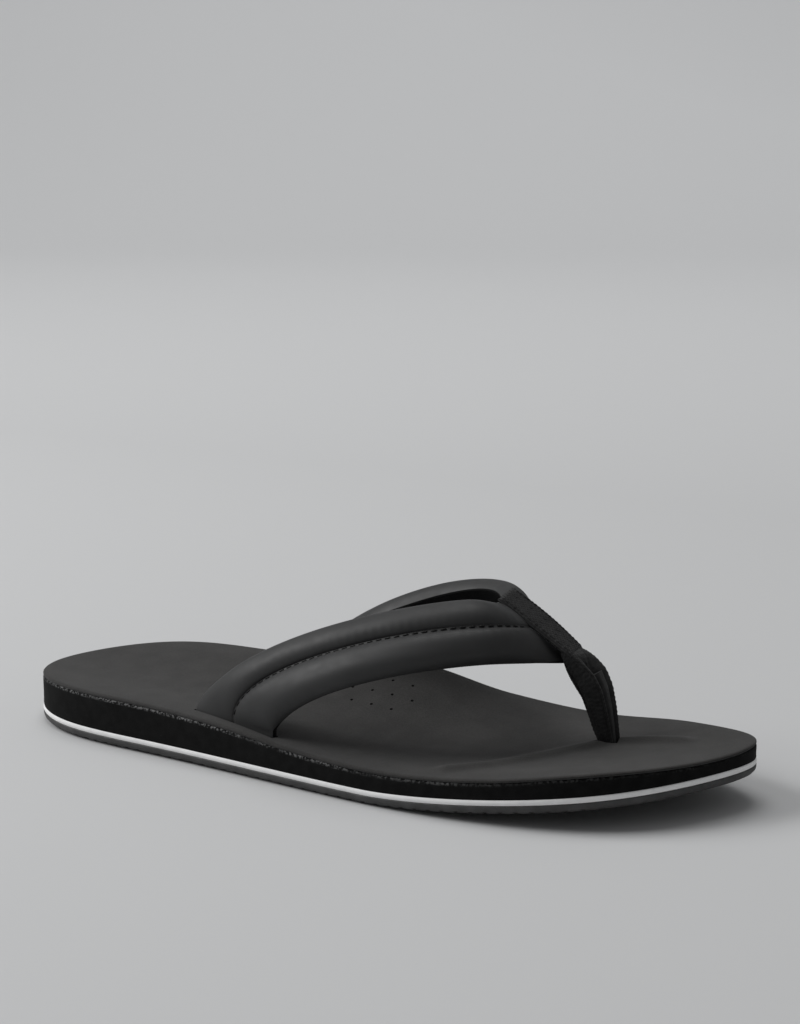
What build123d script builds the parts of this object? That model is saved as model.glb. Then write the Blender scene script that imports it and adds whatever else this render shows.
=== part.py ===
from build123d import *
import math
import os

# Padded-strap flip flop for the right foot: layered sole, two padded straps, webbing tab and toe post.
# X runs from heel to toe, Y towards the inner (medial) side of the foot, Z up from the ground.
# The origin is on the ground at the middle of the sole's length and width.

os.makedirs("parts", exist_ok=True)

# Overall sizes, mm
length = 285.0
width = 102.0
v_angle = 10.5  # the toe post and the straps' meeting line turn this far from X

# Sole layers
outsole_thickness = 3.4
stripe_thickness = 2.0
cover_thickness = 1.3
toe_spring = 10.5  # how far the toe's underside stands off the ground
heel_lift = 1.0
toe_spring_start = 0.60  # share of the length from the heel, as all stations are
heel_lift_end = 0.14
footbed_dish = 2.0
lateral_rim = [19.8, 19.4, 19.0, 17.4, 14.2, 13.0, 15.4, 20.0, 23.8]  # footbed edge heights, heel to toe
medial_rim = [20.0, 21.5, 22.6, 24.9, 27.4, 19.2, 14.9, 18.2, 23.2]

# Tread grooves across the outsole
tread_pitch = 5.2
groove_width = 1.5
groove_depth = 1.1

# Ventilation holes in the footbed's arch
vent_radius = 0.7
vent_pitch = 8.6
vent_station = 0.49
vent_offset = 13.0

# Straps
slot_length = 39.5  # the strap's width where it enters the footbed
slot_stations = {"lateral": 0.3851, "medial": 0.4093}
slot_edge_margins = {"lateral": 13.3, "medial": 22.2}  # from the sole's half width to the slot's middle
slot_headings = {"lateral": -10.7, "medial": -2.0}  # degrees from X
slot_stand_off = 0.4  # how far above the footbed the straps leave their tails
strap_upper_thickness = 1.2
strap_lining_thickness = 1.0
lobe_height = 5.0  # padding crown above the strap's mid-surface, outside
lobe_depth = 2.6  # and inside, towards the foot
valley_width = 1.6  # flat channel between the two pads, which carries the stitching
pad_inset = 1.3
pad_gap = 0.2
seam_gap = 0.1
slot_clearance = 0.3
anchor_thickness = 1.6
anchor_margin = 2.5
anchor_width = 8.0
anchor_clearance = 0.3

# Stitching
stitch_pitch = 3.3
stitch_length = 2.5
thread_width = 0.7
thread_height = 0.5

# Webbing tab over the meeting straps, and the toe post
tab_width = 13.0
tab_thickness = 1.8
tab_gap = 0.2
tab_stand_off = 1.7  # lets the pads swell under the tab's edges
tab_stitch_inset = 1.2
cross_stitch_count = 5
cross_stitch_offset = 1.6
cross_stitch_turn = 24  # degrees
v_gap = 0.3
post_station = 0.8093
post_offset = 17.3
post_wall = 1.5
post_base_depth = 8.4  # fore and aft at the footbed
post_base_width = 7.6
post_hole_clearance = 0.4
post_anchor_radius = 8.5
post_anchor_thickness = 1.2

heel_x = -length / 2
half_width = width / 2
stack_below_midsole = outsole_thickness + stripe_thickness
tall = 80.0  # taller than the sole, for cutting bodies


def station(share):
    """X of a point that far along the sole, as a share of its length from the heel."""
    return heel_x + share * length


def smooth(value):
    """Ease from 0 to 1."""
    value = min(max(value, 0.0), 1.0)
    return value * value * (3 - 2 * value)


def along_profile(heights, share):
    """Height between evenly spaced knots, by a cubic that passes through each."""
    last = len(heights) - 1
    place = min(max(share, 0.0), 1.0) * last
    k = min(int(place), last - 1)
    t = place - k
    before = heights[k - 1] if k > 0 else 2 * heights[0] - heights[1]
    after = heights[k + 2] if k + 2 <= last else 2 * heights[last] - heights[last - 1]
    low, high = heights[k], heights[k + 1]
    slope_low, slope_high = (high - before) / 2, (after - low) / 2
    bend = 3 * (high - low) - 2 * slope_low - slope_high
    twist = 2 * (low - high) + slope_low + slope_high
    return low + t * (slope_low + t * (bend + t * twist))


def sole_bottom(x):
    """Height of the underside: flat under the arch, lifted a little at the heel and more at the toe."""
    share = (x - heel_x) / length
    if share < heel_lift_end:
        return heel_lift * (1 - share / heel_lift_end) ** 2
    rise = max(0.0, (share - toe_spring_start) / (1 - toe_spring_start))
    return toe_spring * rise**1.6 * (1.6 - 0.6 * rise)


def bed_height(x, y):
    """Height of the footbed's top face: rim heights blended across the foot, with a shallow dish."""
    share = (x - heel_x) / length
    side = y / half_width
    blend = smooth((side + 0.4) / 1.15)
    rim = (1 - blend) * along_profile(lateral_rim, share) + blend * along_profile(medial_rim, share)
    dish = footbed_dish * max(0.0, 1 - (side / 0.85) ** 2) ** 2
    return rim - dish


def sole_outline(plane):
    """Right-foot outline: heel back, outer side, toe tip, inner side."""
    shape = [
        (0.000, 0.00), (0.035, -0.48), (0.246, -0.82), (0.523, -0.96), (0.723, -0.98),
        (0.886, -0.70), (0.982, -0.02), (0.9965, 0.47), (0.935, 0.755), (0.814, 0.99),
        (0.600, 0.804), (0.335, 0.696), (0.074, 0.598),
    ]  # share of the length, share of the half width
    with BuildSketch(plane) as outline:
        with BuildLine():
            Spline([(station(share), side * half_width) for share, side in shape], periodic=True)
        make_face()
    return outline.sketch


def side_band(low, high):
    """Side view of a layer that follows the underside between two heights above it."""
    flat_start, flat_end = station(heel_lift_end), station(toe_spring_start)
    toe_end = station(1.02)
    heel_end = station(-0.02)
    heel = [heel_end + (flat_start - heel_end) * k / 4 for k in range(5)]
    toe = [flat_end + (toe_end - flat_end) * k / 8 for k in range(9)]
    with BuildSketch(Plane.XZ) as band:
        with BuildLine():
            for rise in (low, high):
                Spline([(x, sole_bottom(x) + rise) for x in heel])
                Line((flat_start, rise), (flat_end, rise))
                Spline([(x, sole_bottom(x) + rise) for x in toe])
            Line((heel_end, sole_bottom(heel_end) + low), (heel_end, sole_bottom(heel_end) + high))
            Line((toe_end, sole_bottom(toe_end) + low), (toe_end, sole_bottom(toe_end) + high))
        make_face()
    return band.sketch


def bed_form(lowering):
    """Solid under the footbed's top face, lowered by a layer's thickness, wider than the sole."""
    rows = [-1.12, -0.75, -0.4, 0.0, 0.4, 0.75, 1.12]
    columns = [-0.03 + 1.06 * k / 14 for k in range(15)]
    with BuildPart() as form:
        for side in rows:
            y = side * half_width
            with BuildSketch(Plane.XZ.offset(-y)):
                with BuildLine():
                    top = [(station(c), bed_height(station(c), y) - lowering) for c in columns]
                    Spline(top)
                    Polyline([top[-1], (top[-1][0], -5), (top[0][0], -5), top[0]])
                make_face()
        loft()
    return form.part


def save(part, label):
    """Label a finished piece and write it out."""
    part.label = label
    export_step(part, f"parts/{label}.step")


# The straps' plane of meeting, through the toe post
v_direction = Vector(math.cos(math.radians(v_angle)), math.sin(math.radians(v_angle)), 0)
v_side = Vector(-v_direction.Y, v_direction.X, 0)  # towards the inner side
post_x = station(post_station)
post_base = Vector(post_x, post_offset, bed_height(post_x, post_offset))


def v_point(ahead, height, side=0.0):
    """Point that far ahead of the post's base along the meeting plane, at a height above the base."""
    return post_base + v_direction * ahead + v_side * side + Vector(0, 0, height)


tab_rear, tab_front = (-37.9, 50.8), (-10.8, 32.6)  # the tab's top line, ahead and height
tab_run = Vector(tab_front[0] - tab_rear[0], tab_front[1] - tab_rear[1], 0)
tab_along = tab_run.normalized()
tab_up = Vector(-tab_along.Y, tab_along.X, 0)
seam_drop = tab_thickness + tab_gap + strap_upper_thickness + tab_stand_off  # to the strap's mid-surface


def under_tab(run, extra):
    """Ahead and height of a point on the straps' meeting line, by its run along the tab."""
    ahead = tab_rear[0] + tab_along.X * run - tab_up.X * (seam_drop + extra)
    return ahead, tab_rear[1] + tab_along.Y * run - tab_up.Y * (seam_drop + extra)


meeting_places = [(1.2, 0.0), (16.6, 0.2), (31.5, 2.2)]  # rear edge, seam, front edge: run, extra drop
meetings = [v_point(*under_tab(run, extra)) for run, extra in meeting_places]


def strap_curve(start, leave, arrive, end):
    """A line along the strap from its slot to the meeting plane, shaped by two handles."""
    return Edge.make_bezier(start, start + Vector(leave), end + Vector(arrive), end)


def slot_points(side, outer_sign):
    """Rear end, middle and front end of a strap's slot in the footbed."""
    turn = math.radians(slot_headings[side])
    middle = Vector(station(slot_stations[side]), outer_sign * (half_width - slot_edge_margins[side]), 0)
    reach = Vector(math.cos(turn), math.sin(turn), 0) * slot_length / 2
    lift = Vector(0, 0, bed_height(middle.X, middle.Y) + slot_stand_off)
    return middle - reach + lift, middle + lift, middle + reach + lift


slots = {"lateral": slot_points("lateral", -1), "medial": slot_points("medial", 1)}
handles = {
    "lateral": [
        [(0, 9.2, 23.7), (7.1, -35.4, 11.8)],
        [(-4.7, 1.9, 21.9), (8.9, -51.1, 18.8)],
        [(14.2, -4.2, 21.8), (-14.4, -56.9, 9.8)],
    ],
    "medial": [
        [(27.7, -22.3, 25.9), (-11, 36.6, 9.6)],
        [(1.3, -7.4, 21.6), (-22.5, 47, 10.8)],
        [(12.3, 11.5, 22.4), (-35.7, 45.1, 4.4)],
    ],
}  # rear edge, seam and front edge, each with a leaving and an arriving handle
curves = {
    side: [
        strap_curve(start, leave, arrive, end)
        for start, (leave, arrive), end in zip(slots[side], handles[side], meetings)
    ]
    for side in slots
}
outward = {"lateral": 1, "medial": -1}  # which way the strap's outer face looks in its section planes
section_skew = 0.12  # how far sections lead at the rear edge and trail at the front edge, to stand square


def knots(pairs, t):
    """Value between listed (t, value) pairs."""
    for (t0, v0), (t1, v1) in zip(pairs, pairs[1:]):
        if t <= t1:
            return v0 + (v1 - v0) * (t - t0) / (t1 - t0)
    return pairs[-1][1]


def crown(t):
    """Height of the pads' outer face over the strap's mid-surface."""
    flat = strap_upper_thickness + 0.1
    return knots([(0, flat), (0.04, 0.55 * lobe_height), (0.12, 0.92 * lobe_height), (0.5, lobe_height),
                  (0.82, 0.9 * lobe_height), (0.92, flat + 0.5), (1, flat + 0.2)], t)


def belly(t):
    """Depth of the pads' inner face under the strap's mid-surface."""
    flat = strap_lining_thickness + 0.1
    return knots([(0, flat), (0.04, 0.6 * lobe_depth), (0.12, 0.85 * lobe_depth), (0.5, lobe_depth),
                  (0.82, 0.9 * lobe_depth), (0.92, flat + 0.3), (1, flat + 0.1)], t)


def strap_points(side, t):
    """Rear edge, seam and front edge points of one section across a strap."""
    skew = section_skew * math.sin(math.pi * t**0.8)
    rear, seam, front = curves[side]
    return rear @ (t + skew), seam @ t, front @ (t - skew)


def strap_plane(side, t):
    """Plane across a strap: x towards the rear edge, z along the strap towards the meeting plane."""
    rear, seam, front = strap_points(side, t)
    along = curves[side][1] % t
    if t == 0:
        along = Vector(0, 0, 1)
    if t == 1:
        along = v_side * outward[side]
        seam = seam - along * v_gap / 2
    across = (rear - front).normalized()
    return Plane(origin=seam, x_dir=across, z_dir=along - across * along.dot(across))


def half_section(side, plane, edge, base, peak, inset=0.0):
    """Start, crown and end of one pad's arc, from the valley to a strap edge, in the section plane."""
    local = plane.to_local_coords(edge)
    reach = Vector(local.X, local.Y, 0)
    away = reach.normalized()
    up = Vector(-away.Y, away.X, 0)
    if up.Y * outward[side] < 0:
        up = up * -1
    start = away * (valley_width / 2 + inset)
    end = reach - away * inset
    return start + up * base, (start + end) * 0.5 + up * peak, end + up * base


def shell_section(side, t, top, bottom):
    """Closed section of a strap layer, from (base, peak) heights of its outer and inner faces."""
    plane = strap_plane(side, t)
    rear, _, front = strap_points(side, t)
    with BuildSketch(plane) as section:
        with BuildLine():
            ends = []
            for base, peak in (top, bottom):
                rear_arc = half_section(side, plane, rear, base, peak)
                front_arc = half_section(side, plane, front, base, peak)
                ThreePointArc(rear_arc)
                Line(rear_arc[0], front_arc[0])
                ThreePointArc(front_arc)
                ends.append((rear_arc[2], front_arc[2]))
            Line(ends[0][0], ends[1][0])
            Line(ends[0][1], ends[1][1])
        make_face()
    return section.sketch


def pad_section(side, t, edge):
    """Lens-shaped section of one foam pad between the upper and the lining."""
    plane = strap_plane(side, t)
    rise = crown(t) - strap_upper_thickness - pad_gap
    sink = belly(t) - strap_lining_thickness - pad_gap
    start, top, end = half_section(side, plane, edge, 0, rise, pad_inset)
    bottom = half_section(side, plane, edge, 0, -sink, pad_inset)[1]
    with BuildSketch(plane) as section:
        with BuildLine():
            ThreePointArc(start, top, end)
            ThreePointArc(start, bottom, end)
        make_face()
    return section.sketch


def slot_plane(side):
    """Ground plane turned to a slot's heading, under the slot's middle."""
    middle = slots[side][1]
    turn = math.radians(slot_headings[side])
    return Plane(origin=(middle.X, middle.Y, 0), x_dir=(math.cos(turn), math.sin(turn), 0), z_dir=(0, 0, 1))


strap_stations = [0, 0.02, 0.05, 0.1, 0.18, 0.3, 0.44, 0.58, 0.7, 0.8, 0.87, 0.92, 0.96, 1]
pad_stations = [t for t in strap_stations if 0.04 < t < 0.9]
anchor_top = stack_below_midsole + anchor_thickness


for side in slots:
    seam_curve = curves[side][1]
    tail_drop = slots[side][1].Z - anchor_top - seam_gap
    for name, faces in {
        "upper": lambda t: (
            (strap_upper_thickness, crown(t)),
            (seam_gap / 2, crown(t) - strap_upper_thickness),
        ),
        "lining": lambda t: (
            (-seam_gap / 2, strap_lining_thickness - belly(t)),
            (-strap_lining_thickness, -belly(t)),
        ),
    }.items():
        with BuildPart() as layer:
            extrude(shell_section(side, 0, *faces(0)), amount=-tail_drop)
            loft([shell_section(side, t, *faces(t)) for t in strap_stations], ruled=True)
        save(layer.part, f"{side}_strap_{name}")

    for name, edge in (("rear", 0), ("front", 2)):
        with BuildPart() as pad:
            loft([pad_section(side, t, strap_points(side, t)[edge]) for t in pad_stations], ruled=True)
        save(pad.part, f"{side}_strap_padding_{name}")

    last_stitch = int(0.93 * seam_curve.length / stitch_pitch)
    with BuildPart() as stitching:
        for count in range(1, last_stitch + 1):
            plane = strap_plane(side, count * stitch_pitch / seam_curve.length)
            lift = outward[side] * (strap_upper_thickness + thread_height / 2 + seam_gap)
            with Locations(plane * Location((0, lift, 0))):
                Box(thread_width, thread_height, stitch_length)
    save(stitching.part, f"{side}_strap_stitching")

    with BuildPart() as anchor:
        with BuildSketch(slot_plane(side).offset(stack_below_midsole + seam_gap)):
            RectangleRounded(slot_length + 2 * anchor_margin, anchor_width, 3)
        extrude(amount=anchor_thickness - seam_gap)
    save(anchor.part, f"{side}_strap_anchor")


# Webbing tab, on the straps' plane of meeting
meeting_plane = Plane(origin=post_base, x_dir=v_direction, z_dir=v_side * -1)
tab_drop = tab_up * tab_thickness
tab_start, tab_end = Vector(*tab_rear), Vector(*tab_front)

with BuildPart() as vamp_tab:
    with BuildSketch(meeting_plane):
        with BuildLine():
            Polyline(tab_start, tab_end, tab_end - tab_drop, tab_start - tab_drop, close=True)
        make_face()
    extrude(amount=tab_width / 2, both=True)
save(vamp_tab.part, "vamp_tab")

tab_heading = v_direction * tab_along.X + Vector(0, 0, tab_along.Y)
tab_normal = v_direction * tab_up.X + Vector(0, 0, tab_up.Y)
tab_top = Plane(origin=v_point(*tab_rear), x_dir=tab_heading, z_dir=tab_normal)
row_count = int((tab_run.length - 2 * tab_stitch_inset) / stitch_pitch)
with BuildPart() as vamp_tab_stitching:
    with BuildSketch(tab_top.offset(seam_gap)):
        for edge in (-1, 1):
            y = edge * (tab_width / 2 - tab_stitch_inset)
            with Locations([(tab_stitch_inset + (k + 0.5) * stitch_pitch, y) for k in range(row_count)]):
                Rectangle(stitch_length, thread_width)
            for k in range(cross_stitch_count):
                run = (k + 0.5) / cross_stitch_count
                place = (tab_stitch_inset + run * (tab_run.length - 2 * tab_stitch_inset), edge * cross_stitch_offset)
                with Locations(Location(place, edge * cross_stitch_turn)):
                    Rectangle(stitch_length, thread_width)
    extrude(amount=thread_height)
save(vamp_tab_stitching.part, "vamp_tab_stitching")


# Toe post: webbing that starts flat at the tab's front end and folds into a thick stem around a core
post_sections = [
    (tab_end - tab_drop * 0.5 + tab_along * seam_gap, math.degrees(math.atan2(tab_along.Y, tab_along.X)),
     tab_thickness, tab_width - 0.4),
    (Vector(-10.1, 26.9), -57, 9.4, 11.8),
    (Vector(-7.0, 23.0), -62, 11.6, 11.0),
    (Vector(-4.2, 18.0), -70, 10.6, 9.8),
    (Vector(-2.3, 11.5), -78, 9.8, 8.9),
    (Vector(-1.1, 5.5), -84, 9.2, 8.2),
    (Vector(0, 0), -90, post_base_depth, post_base_width),
]  # centre ahead of and above the base, heading in degrees, depth, width


def post_section(centre, heading, depth, breadth, inset=0.0):
    """Rounded section across the toe post."""
    turn = math.radians(heading)
    along = v_direction * math.cos(turn) + Vector(0, 0, math.sin(turn))
    plane = Plane(origin=v_point(centre.X, centre.Y), x_dir=v_side, z_dir=along)
    long_side, short_side = breadth - 2 * inset, depth - 2 * inset
    with BuildSketch(plane) as section:
        RectangleRounded(long_side, short_side, 0.35 * min(long_side, short_side))
    return section.sketch


def post_stem(sections, inset):
    """Loft down the post and its straight tail through the footbed."""
    with BuildPart() as stem:
        loft([post_section(*section, inset) for section in sections], ruled=True)
        extrude(post_section(*sections[-1], inset), amount=post_drop)
    return stem.part


slope = (sole_bottom(post_x + 1) - sole_bottom(post_x - 1)) / 2
post_seat = Plane(
    origin=(post_x, post_offset, sole_bottom(post_x) + stack_below_midsole), z_dir=(-slope, 0, 1)
)
anchor_stack = post_anchor_thickness + 2 * seam_gap
post_drop = post_base.Z - post_seat.origin.Z - anchor_stack - slope * post_base_depth / 2
core_sections = post_sections[2:]
with BuildPart() as toe_post_webbing:
    add(post_stem(post_sections, 0))
    add(post_stem(core_sections, post_wall), mode=Mode.SUBTRACT)
save(toe_post_webbing.part, "toe_post_webbing")
save(post_stem(core_sections, post_wall + seam_gap), "toe_post_core")

with BuildPart() as toe_post_anchor:
    with BuildSketch(post_seat.offset(seam_gap)):
        Circle(post_anchor_radius)
    extrude(amount=post_anchor_thickness)
save(toe_post_anchor.part, "toe_post_anchor")


# Sole layers, from the ground up
footprint = sole_outline(Plane.XY.offset(-10))
bed = bed_form(0)
under_cover = bed_form(cover_thickness)
slot_width = 2 * (strap_upper_thickness + slot_clearance) + 0.2
post_hole = (post_base_width + 2 * post_hole_clearance, post_base_depth + 2 * post_hole_clearance)


def cut_openings():
    """Cut the strap slots and the toe post's hole through the layer being built."""
    for side in slots:
        with BuildSketch(slot_plane(side)) as slot:
            Rectangle(slot_length + 2 * slot_clearance, slot_width)
        extrude(slot.sketch, amount=tall, mode=Mode.SUBTRACT)
    with BuildSketch(Plane(origin=(post_x, post_offset, 0), x_dir=v_side, z_dir=(0, 0, 1))) as hole:
        RectangleRounded(*post_hole, 0.35 * post_base_width)
    extrude(hole.sketch, amount=tall, mode=Mode.SUBTRACT)


groove_count = int((length - 4 * tread_pitch) / tread_pitch)
with BuildPart() as outsole:
    extrude(side_band(0, outsole_thickness), amount=width, both=True)
    extrude(footprint, amount=tall, mode=Mode.INTERSECT)
    for k in range(groove_count + 1):
        x = heel_x + 2 * tread_pitch + k * tread_pitch
        pitch_up = math.degrees(math.atan((sole_bottom(x + 1) - sole_bottom(x - 1)) / 2))
        with Locations(Location((x, 0, sole_bottom(x)), (0, -pitch_up, 0))):
            Box(groove_width, 2 * width, 2 * groove_depth, mode=Mode.SUBTRACT)
save(outsole.part, "outsole")

with BuildPart() as stripe_layer:
    extrude(side_band(outsole_thickness, stack_below_midsole), amount=width, both=True)
    extrude(footprint, amount=tall, mode=Mode.INTERSECT)
save(stripe_layer.part, "stripe_layer")

with BuildPart() as midsole:
    add(under_cover)
    extrude(side_band(stack_below_midsole, tall), amount=width, both=True, mode=Mode.INTERSECT)
    extrude(footprint, amount=tall, mode=Mode.INTERSECT)
    cut_openings()
    for side in slots:
        with BuildSketch(slot_plane(side)) as pocket:
            Rectangle(
                slot_length + 2 * (anchor_margin + anchor_clearance), anchor_width + 2 * anchor_clearance
            )
        extrude(pocket.sketch, amount=anchor_top + seam_gap, mode=Mode.SUBTRACT)
    with BuildSketch(post_seat.offset(-tread_pitch)) as pocket:
        Circle(post_anchor_radius + anchor_clearance)
    extrude(pocket.sketch, amount=tread_pitch + anchor_stack, mode=Mode.SUBTRACT)
save(midsole.part, "midsole")

vent_rows = [(-1, 3), (0, 4), (1, 3)]
with BuildPart() as footbed_cover:
    add(bed)
    add(under_cover, mode=Mode.SUBTRACT)
    extrude(footprint, amount=tall, mode=Mode.INTERSECT)
    cut_openings()
    for row, count in vent_rows:
        for k in range(count):
            x = station(vent_station) + (k - (count - 1) / 2) * vent_pitch
            y = vent_offset + row * vent_pitch * math.sqrt(3) / 2
            with Locations((x, y, bed_height(x, y))):
                Cylinder(vent_radius, 2 * (cover_thickness + 1), mode=Mode.SUBTRACT)
save(footbed_cover.part, "footbed_cover")
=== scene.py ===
import math

import bmesh
import bpy
import numpy as np
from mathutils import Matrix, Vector


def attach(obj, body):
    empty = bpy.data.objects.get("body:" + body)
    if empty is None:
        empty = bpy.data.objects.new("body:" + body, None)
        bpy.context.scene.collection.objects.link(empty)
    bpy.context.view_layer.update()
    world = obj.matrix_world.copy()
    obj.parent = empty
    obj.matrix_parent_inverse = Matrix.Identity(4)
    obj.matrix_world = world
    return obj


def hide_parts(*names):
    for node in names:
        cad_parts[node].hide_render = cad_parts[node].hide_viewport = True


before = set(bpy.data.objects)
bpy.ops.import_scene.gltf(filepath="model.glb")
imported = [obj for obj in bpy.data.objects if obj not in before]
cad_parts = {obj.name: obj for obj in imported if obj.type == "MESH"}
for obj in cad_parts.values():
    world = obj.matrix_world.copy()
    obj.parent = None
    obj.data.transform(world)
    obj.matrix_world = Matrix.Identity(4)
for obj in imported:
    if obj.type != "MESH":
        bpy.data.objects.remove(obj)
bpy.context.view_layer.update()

# Padded-strap flip flop: the detailed skins over the CAD frame. Lengths are in metres.
# X runs from heel to toe, Y towards the inner side of the foot, Z up from the ground.
MM = 0.001

# Sole, with the CAD model's sizes
length, width = 285 * MM, 102 * MM
v_angle = math.radians(10.5)
outsole_thickness, stripe_thickness, cover_thickness = 3.4 * MM, 2.0 * MM, 1.3 * MM
toe_spring, toe_spring_start = 10.5 * MM, 0.60
heel_lift, heel_lift_end = 1.0 * MM, 0.14
footbed_dish = 2.0 * MM
lateral_rim = np.array([19.8, 19.4, 19.0, 17.4, 14.2, 13.0, 15.4, 20.0, 23.8]) * MM
medial_rim = np.array([20.0, 21.5, 22.6, 24.9, 27.4, 19.2, 14.9, 18.2, 23.2]) * MM
outline_shape = [
    (0.000, 0.00), (0.035, -0.48), (0.246, -0.82), (0.523, -0.96), (0.723, -0.98),
    (0.886, -0.70), (0.982, -0.02), (0.9965, 0.47), (0.935, 0.755), (0.814, 0.99),
    (0.600, 0.804), (0.335, 0.696), (0.074, 0.598),
]  # share of the length, share of the half width
tread_pitch, groove_width, groove_depth = 5.2 * MM, 1.5 * MM, 1.1 * MM
vent_radius, vent_pitch = 0.6 * MM, 8.6 * MM
vent_station, vent_offset = 0.49, 13.0 * MM
vent_rows = [(-1, 3), (0, 4), (1, 3)]
stack_below_midsole = outsole_thickness + stripe_thickness
heel_x, half_width = -length / 2, width / 2
around = 600  # points round the sole

# Straps
slot_length = 39.5 * MM
slot_stations = {"lateral": 0.3851, "medial": 0.4093}
slot_edge_margins = {"lateral": 13.3 * MM, "medial": 22.2 * MM}
slot_headings = {"lateral": math.radians(-10.7), "medial": math.radians(-2.0)}
slot_stand_off = 0.4 * MM
upper_thickness, lining_thickness = 1.2 * MM, 1.0 * MM
lobe_height, lobe_depth = 5.0 * MM, 2.6 * MM
valley_width, pad_inset, pad_gap, seam_gap = 0.9 * MM, 1.5 * MM, 0.2 * MM, 0.1 * MM
v_gap = 0.3 * MM
section_skew = 0.12  # how far sections lead at the rear edge and trail at the front edge
strap_tail = 7 * MM  # how far the straps' skins run down into the slots
handles = {
    "lateral": [
        [(0, 9.2, 23.7), (7.1, -35.4, 11.8)],
        [(-4.7, 1.9, 21.9), (8.9, -51.1, 18.8)],
        [(14.2, -4.2, 21.8), (-14.4, -56.9, 9.8)],
    ],
    "medial": [
        [(27.7, -22.3, 25.9), (-11, 36.6, 9.6)],
        [(1.3, -7.4, 21.6), (-22.5, 47, 10.8)],
        [(12.3, 11.5, 22.4), (-35.7, 45.1, 4.4)],
    ],
}  # mm, rear edge, seam and front edge, each with a leaving and an arriving handle
outward = {"lateral": 1, "medial": -1}

# Webbing tab, toe post and thread
stitch_pitch, stitch_length = 3.3 * MM, 2.4 * MM
thread_radius, tab_thread_radius = 0.27 * MM, 0.24 * MM
seam_thread_lift = 0.82 * MM  # over the strap's mid-surface
tab_width, tab_thickness, tab_gap, tab_stand_off = 13.0 * MM, 1.8 * MM, 0.2 * MM, 0.5 * MM
tab_rear = np.array([-38.6, 49.8]) * MM  # the tab's top line, ahead of and above the post's base
tab_front = np.array([-11.5, 31.6]) * MM  # both about 1.2 mm under the CAD's, which clears the pads
tab_stitch_inset = 1.2 * MM
cross_stitch_count, cross_stitch_offset, cross_stitch_turn = 5, 1.6 * MM, math.radians(24)
meeting_places = np.array([(1.2, 0.0), (16.6, 0.2), (31.5, 2.2)]) * MM  # run along the tab, extra drop
post_station, post_offset = 0.8093, 17.3 * MM
yarn_across, yarn_along, weave_height = 0.95 * MM, 0.8 * MM, 0.32 * MM
tab_bulge = 2.0 * MM  # how far the straps' padding lifts the tab's middle, most on the inner side


def station(share):
    """X of a point that far along the sole, as a share of its length from the heel."""
    return heel_x + share * length


def smooth(value):
    """Ease from 0 to 1."""
    value = np.clip(value, 0.0, 1.0)
    return value * value * (3 - 2 * value)


def along_profile(heights, share):
    """Height between evenly spaced knots, by a cubic that passes through each."""
    last = len(heights) - 1
    knots = np.concatenate([[2 * heights[0] - heights[1]], heights, [2 * heights[-1] - heights[-2]]])
    place = np.clip(share, 0, 1) * last
    k = np.minimum(np.floor(place).astype(int), last - 1)
    t = place - k
    before, low, high, after = knots[k], knots[k + 1], knots[k + 2], knots[k + 3]
    slope_low, slope_high = (high - before) / 2, (after - low) / 2
    bend = 3 * (high - low) - 2 * slope_low - slope_high
    twist = 2 * (low - high) + slope_low + slope_high
    return low + t * (slope_low + t * (bend + t * twist))


def sole_bottom(x):
    """Height of the underside: flat under the arch, lifted at the heel and the toe."""
    share = (x - heel_x) / length
    heel = heel_lift * np.maximum(0, 1 - share / heel_lift_end) ** 2
    rise = np.maximum(0, (share - toe_spring_start) / (1 - toe_spring_start))
    return heel + toe_spring * rise**1.6 * (1.6 - 0.6 * rise)


def bed_height(x, y):
    """Height of the footbed's top face."""
    share = (x - heel_x) / length
    side = y / half_width
    blend = smooth((side + 0.4) / 1.15)
    rim = (1 - blend) * along_profile(lateral_rim, share) + blend * along_profile(medial_rim, share)
    return rim - footbed_dish * np.maximum(0.0, 1 - (side / 0.85) ** 2) ** 2


crease = np.array([[56, -38], [66, -27.5], [72.5, -13], [79, 2], [88, 16.5], [100, 20], [114, 21]]) * MM
crease_height, crease_spread = 1.5 * MM, 3.2 * MM


def bed_relief(x, y):
    """Low moulded ridge that crosses the footbed behind the toes and runs on past the toe post."""
    point = np.stack([x, y], axis=-1)
    nearest = np.full(np.shape(x), 1.0)
    for k in range(len(crease) - 1):
        start, run = crease[k], crease[k + 1] - crease[k]
        share = np.clip(((point - start) @ run) / (run @ run), 0, 1)
        nearest = np.minimum(nearest, np.linalg.norm(point - start - share[..., None] * run, axis=-1))
    return crease_height * np.exp(-((nearest / crease_spread) ** 2))


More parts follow.
